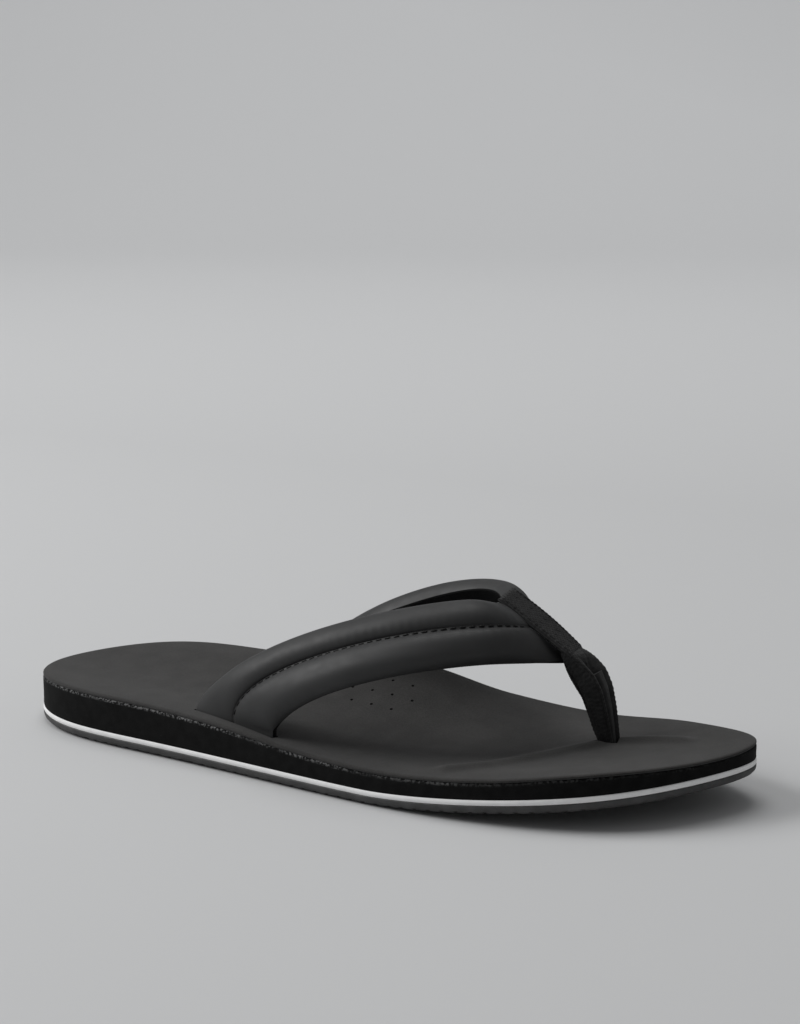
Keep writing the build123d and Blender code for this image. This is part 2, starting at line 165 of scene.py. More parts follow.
def outline(count):
    """Evenly spaced points round the sole on a closed cubic, with their outward directions."""
    knots = np.array([(station(share), side * half_width) for share, side in outline_shape])
    last = len(knots)
    steps = np.linalg.norm(np.roll(knots, -1, axis=0) - knots, axis=1)
    system, right = np.zeros((last, last)), np.zeros((last, 2))
    for k in range(last):
        before, after = steps[k - 1], steps[k]
        system[k, (k - 1) % last] = 1 / before
        system[k, k] = 2 / before + 2 / after
        system[k, (k + 1) % last] = 1 / after
        rise_before = knots[k] - knots[k - 1]
        rise_after = knots[(k + 1) % last] - knots[k]
        right[k] = 3 * (rise_before / before**2 + rise_after / after**2)
    slopes = np.linalg.solve(system, right)
    fine = []
    for k in range(last):
        t = np.linspace(0, 1, 200, endpoint=False)[:, None]
        start, end = knots[k], knots[(k + 1) % last]
        leave, arrive = slopes[k] * steps[k], slopes[(k + 1) % last] * steps[k]
        fine.append((2 * t**3 - 3 * t**2 + 1) * start + (t**3 - 2 * t**2 + t) * leave
                    + (3 * t**2 - 2 * t**3) * end + (t**3 - t**2) * arrive)
    fine = np.concatenate(fine + [fine[0][:1]])
    run = np.concatenate([[0], np.cumsum(np.linalg.norm(np.diff(fine, axis=0), axis=1))])
    places = np.linspace(0, run[-1], count, endpoint=False)
    points = np.stack([np.interp(places, run, fine[:, k]) for k in (0, 1)], axis=1)
    tangent = np.roll(points, -1, axis=0) - np.roll(points, 1, axis=0)
    normal = np.stack([tangent[:, 1], -tangent[:, 0]], axis=1)
    normal /= np.linalg.norm(normal, axis=1)[:, None]
    return points, normal, run[-1]


edge_points, edge_normals, edge_run = outline(around)


# Mesh helpers


def piece(name, verts, faces, uvs=None):
    """New mesh object, with outward normals and an optional UV pair for each face corner."""
    mesh = bpy.data.meshes.new(name)
    mesh.from_pydata([tuple(v) for v in verts], [], faces)
    if uvs is not None:
        layer = mesh.uv_layers.new(name="UVMap")
        layer.data.foreach_set("uv", np.asarray(uvs, dtype=np.float32).ravel())
    mesh.validate()
    form = bmesh.new()
    form.from_mesh(mesh)
    bmesh.ops.recalc_face_normals(form, faces=form.faces)
    form.to_mesh(mesh)
    form.free()
    obj = bpy.data.objects.new(name, mesh)
    bpy.context.scene.collection.objects.link(obj)
    return obj


def skin(name, rows, uv=None):
    """Closed skin over rows of points that each go once round the piece, with a fan over each end."""
    rows = np.asarray(rows)
    count, wide = rows.shape[:2]
    if uv is None:
        uv = np.zeros((count, wide + 1, 2))
    verts = list(rows.reshape(-1, 3))
    faces, uvs = [], []
    for r in range(count - 1):
        for c in range(wide):
            after = (c + 1) % wide
            faces.append((r * wide + c, r * wide + after, (r + 1) * wide + after, (r + 1) * wide + c))
            uvs += [uv[r, c], uv[r, c + 1], uv[r + 1, c + 1], uv[r + 1, c]]
    for r in (0, count - 1):
        verts.append(rows[r].mean(axis=0))
        centre_uv = uv[r].mean(axis=0)
        for c in range(wide):
            faces.append((r * wide + c, r * wide + (c + 1) % wide, len(verts) - 1))
            uvs += [uv[r, c], uv[r, c + 1], centre_uv]
    return piece(name, verts, faces, uvs)


def crisp(obj, degrees=38):
    """Shade smooth, apart from edges sharper than that."""
    form = bmesh.new()
    form.from_mesh(obj.data)
    for face in form.faces:
        face.smooth = True
    for edge in form.edges:
        edge.smooth = len(edge.link_faces) != 2 or edge.calc_face_angle(0) < math.radians(degrees)
    form.to_mesh(obj.data)
    form.free()


def bake(obj):
    """Make the object's modifiers part of its mesh."""
    graph = bpy.context.evaluated_depsgraph_get()
    obj.data = bpy.data.meshes.new_from_object(obj.evaluated_get(graph))
    obj.modifiers.clear()


def cut(obj, cutter):
    """Take the cutter's shape out of the object."""
    change = obj.modifiers.new("cut", "BOOLEAN")
    change.operation, change.solver, change.object = "DIFFERENCE", "EXACT", cutter
    bpy.context.view_layer.update()
    bake(obj)


def boxes(name, places):
    """One mesh of separate boxes, each from a centre, three half-edge vectors."""
    verts, faces = [], []
    for centre, a, b, c in places:
        first = len(verts)
        for k in range(8):
            sign = [1 if k & bit else -1 for bit in (1, 2, 4)]
            verts.append(centre + a * sign[0] + b * sign[1] + c * sign[2])
        for face in ((0, 1, 3, 2), (4, 6, 7, 5), (0, 4, 5, 1), (2, 3, 7, 6), (0, 2, 6, 4), (1, 5, 7, 3)):
            faces.append([first + k for k in face])
    return piece(name, verts, faces)


# Materials


class Surface:
    """A material built node by node."""

    def __init__(self, name, colour, roughness, specular=0.3, sheen=0.0):
        self.material = bpy.data.materials.new(name)
        self.material.use_nodes = True
        self.tree = self.material.node_tree
        self.shader = self.tree.nodes["Principled BSDF"]
        self.shader.inputs["Base Color"].default_value = (*colour, 1)
        self.shader.inputs["Roughness"].default_value = roughness
        self.shader.inputs["Specular IOR Level"].default_value = specular
        self.shader.inputs["Sheen Weight"].default_value = sheen
        self.shader.inputs["Sheen Roughness"].default_value = 0.5
        self.normal = None

    def node(self, kind, **settings):
        """Add a node. Settings are its properties, or its inputs by name with _ for a space."""
        made = self.tree.nodes.new(kind)
        for key, value in settings.items():
            if hasattr(made, key):
                setattr(made, key, value)
            else:
                made.inputs[key.replace("_", " ")].default_value = value
        return made

    def link(self, source, target):
        self.tree.links.new(source, target)

    def place(self, stretch=(1, 1, 1)):
        """Object coordinates in metres, stretched."""
        coordinates = self.node("ShaderNodeTexCoord")
        mapping = self.node("ShaderNodeMapping")
        mapping.inputs["Scale"].default_value = stretch
        self.link(coordinates.outputs["Object"], mapping.inputs["Vector"])
        return mapping.outputs["Vector"]

    def noise(self, size, detail=3.0, stretch=(1, 1, 1)):
        """Noise whose blotches are about that many metres across."""
        made = self.node("ShaderNodeTexNoise", Scale=1 / size, Detail=detail)
        self.link(self.place(stretch), made.inputs["Vector"])
        return made.outputs["Fac"]

    def cells(self, size):
        """Distance to the middle of cells about that many metres across."""
        made = self.node("ShaderNodeTexVoronoi", Scale=1 / size)
        self.link(self.place(), made.inputs["Vector"])
        return made.outputs["Distance"]

    def ramp(self, source, *stops):
        """Colour ramp from (place, (r, g, b)) stops."""
        made = self.node("ShaderNodeValToRGB")
        marks = made.color_ramp.elements
        while len(marks) < len(stops):
            marks.new(1.0)
        for mark, (place, colour) in zip(marks, stops):
            mark.position, mark.color = place, (*colour, 1)
        self.link(source, made.inputs["Fac"])
        return made.outputs["Color"]

    def mix(self, factor, low, high, kind="MIX"):
        """Blend two colours, each a socket or an (r, g, b)."""
        made = self.node("ShaderNodeMix", data_type="RGBA", blend_type=kind)
        for socket, value in ((made.inputs[0], factor), (made.inputs[6], low), (made.inputs[7], high)):
            if hasattr(value, "links"):
                self.link(value, socket)
            elif isinstance(value, tuple):
                socket.default_value = (*value, 1)
            else:
                socket.default_value = value
        return made.outputs[2]

    def colour(self, source):
        self.link(source, self.shader.inputs["Base Color"])

    def rough(self, source):
        self.link(source, self.shader.inputs["Roughness"])

    def bump(self, source, height, strength=1.0):
        """Raise the surface by up to that many metres where the source is 1."""
        made = self.node("ShaderNodeBump", Strength=strength, Distance=height)
        self.link(source, made.inputs["Height"])
        if self.normal is not None:
            self.link(self.normal, made.inputs["Normal"])
        self.normal = made.outputs["Normal"]
        self.link(self.normal, self.shader.inputs["Normal"])


def grey(value, warm=0.0):
    """Linear grey, a little warmer or cooler."""
    return (value * (1 + warm), value, value * (1 - warm))


def nubuck():
    """Brushed synthetic nubuck of the footbed."""
    made = Surface("footbed_nubuck", grey(0.042), 0.92, specular=0.18, sheen=0.12)
    nap = made.ramp(made.noise(9 * MM, 5), (0.35, grey(0.027, 0.03)), (0.68, grey(0.035, 0.03)))
    fuzz = made.ramp(made.noise(0.45 * MM, 2), (0.3, grey(0.72)), (0.7, grey(1.25)))
    made.colour(made.mix(1.0, nap, fuzz, "MULTIPLY"))
    made.bump(made.noise(0.5 * MM, 3), 0.12 * MM, 0.55)
    made.bump(made.noise(3.0 * MM, 2), 0.12 * MM, 0.25)
    return made.material


def eva():
    """Black moulded foam, with the rough pale scuff line under the footbed's edge."""
    made = Surface("midsole_foam", grey(0.010), 0.8, specular=0.14)
    mottle = made.ramp(made.noise(3.5 * MM, 6), (0.38, grey(0.0018)), (0.66, grey(0.0048)))
    uv = made.node("ShaderNodeUVMap")
    split = made.node("ShaderNodeSeparateXYZ")
    made.link(uv.outputs["UV"], split.inputs[0])
    band = made.node("ShaderNodeMapRange", From_Min=1.5 * MM, From_Max=2.6 * MM)
    made.link(split.outputs["Y"], band.inputs["Value"])
    edge = made.ramp(band.outputs["Result"], (0.0, (1, 1, 1)), (0.55, (0.5, 0.5, 0.5)), (1.0, (0, 0, 0)))
    flakes = made.ramp(made.noise(0.9 * MM, 6), (0.47, (0, 0, 0)), (0.57, (1, 1, 1)))
    patches = made.ramp(made.noise(14 * MM, 2), (0.36, (0.3, 0.3, 0.3)), (0.58, (1, 1, 1)))
    heel = made.node("ShaderNodeSeparateXYZ")
    made.link(made.place(), heel.inputs[0])
    fade = made.node("ShaderNodeMapRange", From_Min=station(0.95), From_Max=station(0.30), To_Min=0.12)
    made.link(heel.outputs["X"], fade.inputs["Value"])
    scuff = made.mix(1.0, made.mix(1.0, edge, flakes, "MULTIPLY"), patches, "MULTIPLY")
    scuff = made.mix(1.0, scuff, fade.outputs["Result"], "MULTIPLY")
    made.colour(made.mix(scuff, mottle, grey(0.22)))
    made.bump(made.noise(0.8 * MM, 4), 0.10 * MM, 0.5)
    return made.material


def pale_foam():
    """Thin white foam stripe."""
    made = Surface("stripe_foam", grey(0.78), 0.6, specular=0.3)
    made.colour(made.ramp(made.noise(6 * MM, 5), (0.3, grey(0.84)), (0.6, grey(0.92))))
    made.bump(made.noise(0.7 * MM, 3), 0.05 * MM, 0.4)
    return made.material


def outsole_rubber():
    """Dark moulded rubber."""
    made = Surface("outsole_rubber", grey(0.05), 0.62, specular=0.35)
    made.colour(made.ramp(made.noise(5 * MM, 5), (0.32, grey(0.050)), (0.66, grey(0.075))))
    made.rough(made.ramp(made.noise(2 * MM, 4), (0.3, grey(0.52)), (0.7, grey(0.72))))
    made.bump(made.noise(0.35 * MM, 3), 0.04 * MM, 0.5)
    return made.material


def strap_leather():
    """Smooth matt synthetic leather with a fine grain."""
    made = Surface("strap_leather", grey(0.030), 0.5, specular=0.34)
    tone = made.ramp(made.noise(12 * MM, 4), (0.35, grey(0.027, -0.008)), (0.65, grey(0.032, -0.008)))
    made.colour(tone)
    made.rough(made.ramp(made.noise(4 * MM, 4), (0.3, grey(0.50)), (0.7, grey(0.60))))
    made.bump(made.cells(0.42 * MM), 0.035 * MM, 0.35)
    made.bump(made.noise(6 * MM, 3), 0.15 * MM, 0.2)
    return made.material


def soft_lining():
    """Matt knitted lining."""
    made = Surface("strap_lining", grey(0.016), 0.95, specular=0.12)
    made.colour(made.ramp(made.noise(0.5 * MM, 3), (0.3, grey(0.011)), (0.7, grey(0.020))))
    made.bump(made.cells(0.5 * MM), 0.09 * MM, 0.6)
    return made.material


def webbing():
    """Coarse woven tape: the weave is in the mesh, the fibres are here."""
    made = Surface("webbing", grey(0.040), 0.85, specular=0.2, sheen=0.08)
    tone = made.ramp(made.noise(2.5 * MM, 4), (0.3, grey(0.016)), (0.7, grey(0.034)))
    fibre = made.ramp(made.noise(0.22 * MM, 2, (1, 1, 0.35)), (0.3, grey(0.6)), (0.7, grey(1.3)))
    made.colour(made.mix(1.0, tone, fibre, "MULTIPLY"))
    made.bump(made.noise(0.22 * MM, 2, (1, 1, 0.35)), 0.06 * MM, 0.6)
    return made.material


def thread():
    """Black twisted thread."""
    made = Surface("thread", grey(0.006), 0.5, specular=0.3)
    made.colour(made.ramp(made.noise(0.5 * MM, 2), (0.3, grey(0.004)), (0.7, grey(0.010))))
    twist = made.node("ShaderNodeTexWave", Scale=900.0, Distortion=1.0)
    made.link(made.place(), twist.inputs["Vector"])
    made.bump(twist.outputs["Fac"], 0.06 * MM, 0.6)
    return made.material


def hidden_foam():
    """Open-cell padding foam."""
    made = Surface("padding_foam", grey(0.22), 0.95, specular=0.1)
    made.colour(made.ramp(made.cells(1.1 * MM), (0.1, grey(0.12)), (0.6, grey(0.26))))
    made.bump(made.cells(1.1 * MM), 0.2 * MM, 0.7)
    return made.material


def anchor_plastic():
    """Moulded plastic of the hidden anchors."""
    made = Surface("anchor_plastic", grey(0.03), 0.45, specular=0.4)
    made.colour(made.ramp(made.noise(4 * MM, 3), (0.3, grey(0.024)), (0.7, grey(0.036))))
    made.bump(made.noise(0.4 * MM, 2), 0.03 * MM, 0.4)
    return made.material


looks = {
    "outsole_rubber": outsole_rubber(), "stripe_foam": pale_foam(), "midsole_foam": eva(),
    "footbed_fabric": nubuck(), "strap_leather": strap_leather(), "strap_lining": soft_lining(),
    "padding_foam": hidden_foam(), "webbing": webbing(), "cord": webbing(), "thread": thread(),
    "anchor_plastic": anchor_plastic(),
}


def dress(obj, node, look, replaced=True):
    """Give a new piece its material and its place in the frame."""
    obj.data.materials.clear()
    obj.data.materials.append(looks[look])
    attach(obj, "root")
    if replaced:
        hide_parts(node)


def dress_cad(node, look):
    """Give a CAD node that stays its material."""
    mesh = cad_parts[node].data
    mesh.materials.clear()
    mesh.materials.append(looks[look])


# Sole


def ring(inset, height, scale=1.0):
    """Points round the sole, set in from its edge, at a height given as a function of x and y."""
    flat = (edge_points - edge_normals * inset) * scale
    return np.column_stack([flat, height(flat[:, 0], flat[:, 1])])


def layer(name, top, bottom, edge_rows, rings):
    """Closed sole layer: top face from the middle out, edge rows of (inset, height), bottom face back in."""
    shares = np.linspace(0, 1, rings + 1)[1:-1]
    rows = [ring(edge_rows[0][0], top, share) for share in shares]
    rows += [ring(inset, height) for inset, height in edge_rows]
    rows += [ring(edge_rows[-1][0], bottom, share) for share in shares[::-1]]
    rows = np.array(rows)
    rim = bed_height(edge_points[:, 0], edge_points[:, 1])
    runs = np.linspace(0, edge_run, around + 1)
    uv = np.zeros((len(rows), around + 1, 2))
    for r, row in enumerate(rows):
        depth = rim - row[:, 2]
        uv[r, :, 0] = runs
        uv[r, :, 1] = np.append(depth, depth[0])
    return skin(name, rows, uv)


def below_bed(drop):
    """Height function of a surface that far under the footbed's top face."""
    return lambda x, y: bed_height(x, y) + bed_relief(x, y) - drop


def above_ground(rise):
    """Height function of a surface that far above the underside."""
    return lambda x, y: sole_bottom(x) + rise


def between(share, drop, rise):
    """Height function between those two surfaces, by share of the way down."""
    high, low = below_bed(drop), above_ground(rise)
    return lambda x, y: high(x, y) * (1 - share) + low(x, y) * share


def slot_middle(side):
    """Middle of a strap's slot on the ground plane, and its heading."""
    sign = -1 if side == "lateral" else 1
    turn = slot_headings[side]
    middle = np.array([station(slot_stations[side]), sign * (half_width - slot_edge_margins[side]), 0])
    return middle, np.array([math.cos(turn), math.sin(turn), 0])


post_ground = np.array([station(post_station), post_offset, 0])
v_direction = np.array([math.cos(v_angle), math.sin(v_angle), 0])
v_side = np.array([-v_direction[1], v_direction[0], 0])
up = np.array([0, 0, 1.0])


def sole_cutter():
    """Strap slots and the toe post's hole."""
    places = []
    for side in outward:
        middle, heading = slot_middle(side)
        top = bed_height(middle[0], middle[1])
        sideways = np.array([-heading[1], heading[0], 0])
        centre = middle + up * (top + 2 * MM)
        places.append((centre, heading * (slot_length / 2 + 0.5 * MM), sideways * 1.7 * MM, up * 12 * MM))
    top = bed_height(*post_ground[:2])
    places.append((post_ground + up * top, v_direction * 4.5 * MM, v_side * 4.2 * MM, up * 7 * MM))
    return boxes("sole_cutter", places)


def vent_cutter():
    """Small round pins where the footbed's vent holes go."""
    rows, verts, faces = 16, [], []
    for row, count in vent_rows:
        for k in range(count):
            x = station(vent_station) + (k - (count - 1) / 2) * vent_pitch
            y = vent_offset + row * vent_pitch * math.sqrt(3) / 2
            z = bed_height(x, y)
            first = len(verts)
            for rise in (-4 * MM, 4 * MM):
                for step in range(rows):
                    turn = 2 * math.pi * step / rows
                    across, ahead = vent_radius * math.cos(turn), vent_radius * math.sin(turn)
                    verts.append((x + across, y + ahead, z + rise))
            for step in range(rows):
                after = (step + 1) % rows
                faces.append([first + step, first + after, first + rows + after, first + rows + step])
            faces.append([first + step for step in range(rows)][::-1])
            faces.append([first + rows + step for step in range(rows)])
    return piece("vent_cutter", verts, faces)


def groove_cutter():
    """Bars across the outsole, one for each tread groove."""
    places = []
    for k in range(int((length - 4 * tread_pitch) / tread_pitch) + 1):
        x = heel_x + 2 * tread_pitch + k * tread_pitch
        slope = (sole_bottom(x + MM) - sole_bottom(x - MM)) / (2 * MM)
        along = np.array([1, 0, slope]) / math.hypot(1, slope)
        lift = np.array([-along[2], 0, along[0]])
        centre = np.array([x, 0, sole_bottom(x)])
        places.append((centre, along * groove_width / 2, np.array([0, width, 0]), lift * groove_depth))
    return boxes("groove_cutter", places)


def make_sole():
    """Cover, midsole, stripe and outsole."""
    slots, vents, grooves = sole_cutter(), vent_cutter(), groove_cutter()
    cover_edge = [
        (1.6 * MM, below_bed(0.0)), (0.8 * MM, below_bed(0.08 * MM)), (0.35 * MM, below_bed(0.24 * MM)),
        (0.08 * MM, below_bed(0.52 * MM)), (0.05 * MM, below_bed(1.0 * MM)),
        (0.25 * MM, below_bed(1.22 * MM)), (0.9 * MM, below_bed(cover_thickness)),
    ]
    cover = layer("cover_skin", below_bed(0), below_bed(cover_thickness), cover_edge, 60)
    cut(cover, slots)
    cut(cover, vents)
    crisp(cover)
    dress(cover, "footbed_cover", "footbed_fabric")

    top, low = cover_thickness + 0.03 * MM, stack_below_midsole
    mid_edge = [
        (1.2 * MM, below_bed(top)), (0.45 * MM, below_bed(top + 0.05 * MM)),
        (0.12 * MM, below_bed(top + 0.4 * MM)), (0.0, below_bed(top + 0.9 * MM)),
        (0.0, between(0.35, top, low)), (0.05 * MM, between(0.55, top, low)),
        (0.05 * MM, between(0.8, top, low)), (0.0, above_ground(low + 0.5 * MM)),
        (0.1 * MM, above_ground(low)),
    ]
    middle = layer("midsole_skin", below_bed(top), above_ground(low), mid_edge, 24)
    cut(middle, slots)
    crisp(middle)
    dress(middle, "midsole", "midsole_foam")

    low, high = outsole_thickness + 0.02 * MM, stack_below_midsole - 0.02 * MM
    stripe_edge = [
        (0.15 * MM, above_ground(high)), (-0.12 * MM, above_ground(high - 0.3 * MM)),
        (-0.18 * MM, above_ground((low + high) / 2)), (-0.12 * MM, above_ground(low + 0.3 * MM)),
        (0.15 * MM, above_ground(low)),
    ]
    stripe = layer("stripe_skin", above_ground(high), above_ground(low), stripe_edge, 8)
    crisp(stripe)
    dress(stripe, "stripe_layer", "stripe_foam")

    high = outsole_thickness
    tread_edge = [
        (0.2 * MM, above_ground(high)), (-0.1 * MM, above_ground(high - 0.3 * MM)),
        (-0.1 * MM, above_ground(2.2 * MM)), (0.15 * MM, above_ground(1.5 * MM)),
        (0.9 * MM, above_ground(0.7 * MM)), (2.0 * MM, above_ground(0.2 * MM)), (3.2 * MM, above_ground(0.0)),
    ]
    tread = layer("outsole_skin", above_ground(high), above_ground(0), tread_edge, 30)
    cut(tread, grooves)
    crisp(tread, 30)
    dress(tread, "outsole", "outsole_rubber")
    for cutter in (slots, vents, grooves):
        bpy.data.objects.remove(cutter)


# Straps

post_base = post_ground + up * bed_height(*post_ground[:2])


def v_point(ahead, height):
    """Point on the straps' plane of meeting, from the toe post's base."""
    return post_base + v_direction * ahead + up * height


tab_run = np.linalg.norm(tab_front - tab_rear)
tab_along = (tab_front - tab_rear) / tab_run
tab_up = np.array([-tab_along[1], tab_along[0]])
seam_drop = tab_thickness + tab_gap + upper_thickness + tab_stand_off


def under_tab(run, extra):
    """Point of the straps' meeting line, by its run along the tab."""
    return v_point(*(tab_rear + tab_along * run - tab_up * (seam_drop + extra)))


meetings = [under_tab(run, extra) for run, extra in meeting_places]


def bezier(start, leave, arrive, end, count=900):
    """Evenly stepped points of a cubic from two end points and their handles."""
    t = np.linspace(0, 1, count)[:, None]
    first, second = start + np.array(leave) * MM, end + np.array(arrive) * MM
    return (1 - t) ** 3 * start + 3 * (1 - t) ** 2 * t * first + 3 * (1 - t) * t**2 * second + t**3 * end


class Line:
    """A curve measured by share of its length."""

    def __init__(self, points):
        steps = np.linalg.norm(np.diff(points, axis=0), axis=1)
        self.points = points
        self.length = steps.sum()
        self.shares = np.concatenate([[0], np.cumsum(steps)]) / self.length

    def at(self, share):
        return np.array([np.interp(share, self.shares, self.points[:, k]) for k in range(3)])

    def along(self, share):
        step = self.at(min(share + 0.004, 1)) - self.at(max(share - 0.004, 0))
        return step / np.linalg.norm(step)


def strap_lines(side):
    """Rear edge, seam and front edge of a strap, from its slot to the meeting plane."""
    middle, heading = slot_middle(side)
    lift = up * (bed_height(middle[0], middle[1]) + slot_stand_off)
    starts = [middle + heading * reach + lift for reach in (-slot_length / 2, 0, slot_length / 2)]
    return [Line(bezier(start, leave, arrive, end))
            for start, (leave, arrive), end in zip(starts, handles[side], meetings)]


lines = {side: strap_lines(side) for side in outward}
crown_knots = [(0, 1.3), (0.04, 2.9), (0.12, 4.6), (0.3, 4.9), (0.5, 5.0), (0.82, 4.5), (0.92, 2.2), (1, 1.5)]
belly_knots = [(0, 1.1), (0.04, 1.5), (0.12, 2.2), (0.5, 2.6), (0.82, 2.3), (0.92, 1.5), (1, 1.2)]


def eased(knots, t):
    """Value between listed (t, mm) knots, with the corners rounded off."""
    places, values = zip(*knots)
    near = np.linspace(-0.03, 0.03, 7)
    return float(np.interp(np.clip(t + near, 0, 1), places, values).mean()) * MM


def strap_frame(side, t):
    """Origin, across and outward axes of one section, and its two edges in those axes."""
    skew = section_skew * math.sin(math.pi * t**0.8)
    rear, seam, front = lines[side]
    origin, along = seam.at(t), seam.along(t)
    rear_edge, front_edge = rear.at(t + skew), front.at(t - skew)
    lean = smooth(1 - t / 0.05)
    along = along * (1 - lean) + up * lean
    lean = smooth((t - 0.94) / 0.06)
    along = along * (1 - lean) + v_side * outward[side] * lean
    origin = origin - v_side * outward[side] * (v_gap / 2) * smooth((t - 0.9) / 0.1)
    across = (rear_edge - front_edge) / np.linalg.norm(rear_edge - front_edge)
    along = along - across * (along @ across)
    along /= np.linalg.norm(along)
    out = np.cross(along, across)
    edges = [np.array([(edge - origin) @ across, (edge - origin) @ out]) for edge in (rear_edge, front_edge)]
    return origin, across, out, edges


def lobe(side, edge, share, base, peak, edge_base, inset=0.0, reach_out=0.0):
    """Point on a puffed face, from the valley at share 0 to the strap's edge at share 1."""
    reach = np.linalg.norm(edge)
    away = edge / reach
    rise = np.array([-away[1], away[0]])
    if rise[1] * outward[side] < 0:
        rise = -rise
    start, end = valley_width / 2 + inset, reach - inset + reach_out
    level = base + (edge_base - base) * share
    puff = (1 - abs(2 * share - 1) ** 2.5) ** 0.6
    return away * (start + (end - start) * share) + rise * (level + (peak - level) * puff)


half_steps = (1 - np.cos(np.linspace(0, math.pi, 25))) / 2  # closer together at both ends
strap_stations = np.linspace(0, 1, 150)
pucker_share, pucker_spread = 0.05, 0.16  # how much each stitch draws the pads in, and how far out


def shell_rows(side, faces):
    """Rows of a strap layer.

    faces(t) gives (base, peak, rear and front edge bases, reach out), for the outer and the inner face.
    """
    rows = []
    for t in strap_stations:
        origin, across, out, edges = strap_frame(side, t)
        seam_run = lines[side][1].length * t
        pucker = 1 - pucker_share * math.cos(2 * math.pi * seam_run / stitch_pitch) * smooth(t / 0.1)
        section = []
        for number, (base, peak, edge_bases, reach_out) in enumerate(faces(t)):
            line = []
            for half, edge in enumerate(edges):
                shares = half_steps[::-1] if half == 0 else half_steps
                edge_base = edge_bases[half]
                for share in shares:
                    local = lobe(side, edge, share, base, peak, edge_base, reach_out=reach_out)
                    near_seam = math.exp(-((share / pucker_spread) ** 2))
                    if number == 0:
                        fall = lobe(side, edge, share, base, base, edge_base, reach_out=reach_out)
                        local = fall + (local - fall) * (1 + (pucker - 1) * near_seam)
                    line.append(origin + across * local[0] + out * local[1])
            section += line if number == 0 else line[::-1]
        rows.append(section)
    first = np.array(rows[0])
    sunk = [first - up * drop for drop in np.linspace(strap_tail, 0, 6)[:-1]]
    return np.array(sunk + rows)


def make_strap(side):
    """Upper, lining, pads and stitches of one strap."""

    def upper_faces(t):
        crown = eased(crown_knots, t)
        wrap = smooth(t / 0.1) * smooth((1 - t) / 0.1)
        outer = [0.9 * MM - wrap * amount for amount in (2.6 * MM, 1.2 * MM)]
        inner = [0.1 * MM - wrap * amount for amount in (1.9 * MM, 0.8 * MM)]
        return (
            (0.75 * MM, crown, outer, 0.15 * MM),
            (seam_gap / 2, crown - upper_thickness, inner, -0.6 * MM),
        )

    def lining_faces(t):
        belly = eased(belly_knots, t)
        return (
            (-seam_gap / 2, lining_thickness - belly, (-1.5 * MM, -0.5 * MM), -0.3 * MM),
            (-lining_thickness, -belly, (-2.1 * MM, -1.1 * MM), -0.2 * MM),
        )

    upper = skin(f"{side}_upper_skin", shell_rows(side, upper_faces))
    crisp(upper, 60)
    dress(upper, f"{side}_strap_upper", "strap_leather")
    lining = skin(f"{side}_lining_skin", shell_rows(side, lining_faces))
    crisp(lining, 60)
    dress(lining, f"{side}_strap_lining", "strap_lining")
    for number, name in enumerate(("rear", "front")):
        make_pad(side, number, name)
    make_strap_stitches(side)


def make_pad(side, number, name):
    """Foam pad inside one channel of a strap."""
    rows = []
    for t in np.linspace(0.05, 0.87, 60):
        origin, across, out, edges = strap_frame(side, t)
        taper = math.sqrt(max(0.02, 1 - abs((t - 0.46) / 0.42) ** 6))
        rise = (eased(crown_knots, t) - upper_thickness - 2 * pad_gap) * taper
        sink = (eased(belly_knots, t) - lining_thickness - pad_gap) * taper
        top = [lobe(side, edges[number], s, 0, rise, 0, inset=pad_inset) for s in half_steps[::2]]
        low = [lobe(side, edges[number], s, 0, -sink, 0, inset=pad_inset) for s in half_steps[::-2]]
        rows.append([origin + across * p[0] + out * p[1] for p in top + low[1:-1]])
    pad = skin(f"{side}_pad_{name}", rows)
    crisp(pad, 60)
    dress(pad, f"{side}_strap_padding_{name}", "padding_foam")


def stitch(centre, along, rise, radius=thread_radius):
    """Rows of one thread stitch that dips into the cloth at both ends."""
    sideways = np.cross(along, rise)
    rows = []
    for share in np.linspace(-1, 1, 9):
        middle = centre + along * share * stitch_length / 2 - rise * radius * 1.5 * share**4
        thick = radius * math.sqrt(max(0.04, 1 - share**8))
        turns = np.linspace(0, 2 * math.pi, 9)[:-1]
        rows.append([middle + (sideways * math.cos(turn) * 1.1 + rise * math.sin(turn) * 0.8) * thick
                     for turn in turns])
    return rows


def thread_piece(name, stitches):
    """One mesh of separate stitches."""
    verts, faces = [], []
    for rows in stitches:
        first, wide = len(verts), len(rows[0])
        for row in rows:
            verts += row
        for r in range(len(rows) - 1):
            for c in range(wide):
                after = (c + 1) % wide
                faces.append([first + r * wide + c, first + r * wide + after,
                              first + (r + 1) * wide + after, first + (r + 1) * wide + c])
        last = first + (len(rows) - 1) * wide
        faces.append([first + c for c in range(wide)][::-1])
        faces.append([last + c for c in range(wide)])
    obj = piece(name, verts, faces)
    crisp(obj, 70)
    return obj


def make_strap_stitches(side):
    """Row of stitches down the valley between the two pads."""
    seam = lines[side][1]
    stitches = []
    for count in range(1, int(0.93 * seam.length / stitch_pitch) + 1):
        t = count * stitch_pitch / seam.length
        origin, across, out, _ = strap_frame(side, t)
        rise = out * outward[side]
        stitches.append(stitch(origin + rise * seam_thread_lift, seam.along(t), rise))
    dress(thread_piece(f"{side}_stitches", stitches), f"{side}_strap_stitching", "thread")


# Webbing


def weave(across, along):
    """Height of a coarse plain weave, in metres, from places across and along the tape."""
    column = np.floor(across / yarn_across)
    ridge = np.abs(np.sin(math.pi * across / yarn_across)) ** 0.7
    beat = 0.5 + 0.5 * np.cos(2 * math.pi * along / (2 * yarn_along) + math.pi * column)
    return weave_height * (ridge * (0.25 + 0.75 * beat) - 0.5)


